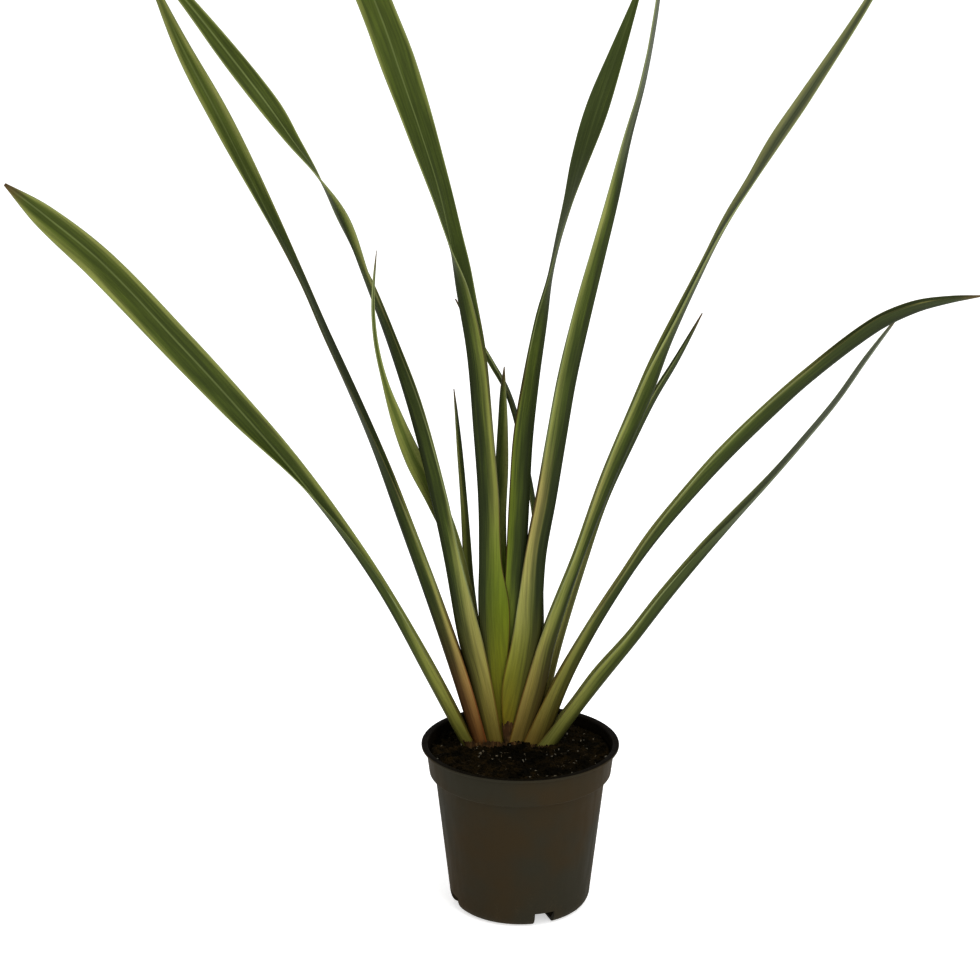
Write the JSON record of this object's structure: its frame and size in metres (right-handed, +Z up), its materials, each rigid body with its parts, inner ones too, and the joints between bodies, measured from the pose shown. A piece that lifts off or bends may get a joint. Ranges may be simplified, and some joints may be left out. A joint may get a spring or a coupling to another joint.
{
  "type": "potted variegated new zealand flax",
  "caption": "Fan of long folded sword-shaped variegated leaves rising from potting soil in a round tapered plastic nursery pot.",
  "frame": {"origin": "middle of the pot's flat underside, on the surface it stands on", "axes": "+Z up out of the pot, X across the spread of the leaf fan, -Y towards the side from which the fan is seen face-on"},
  "size_m": [0.5888, 0.1347, 0.6913],
  "materials": {
    "pot_plastic": "satin",
    "soil": "rough",
    "crown": "rough",
    "leaf": "satin"
  },
  "bodies": {
    "root": {"pot": "pot_plastic", "soil": "soil", "crown": "crown", "leaf_left_low": "leaf", "leaf_left_outer": "leaf", "leaf_left_twisted": "leaf", "leaf_left_tall": "leaf", "leaf_centre_dark": "leaf", "leaf_right_tall": "leaf", "leaf_right_upright": "leaf", "leaf_right_arching": "leaf", "leaf_right_low": "leaf", "leaf_rear_right": "leaf", "leaf_rear_left": "leaf", "leaf_rear_slender": "leaf", "leaf_rear_centre": "leaf", "leaf_rear_crossing": "leaf"}
  },
  "joints": []
}
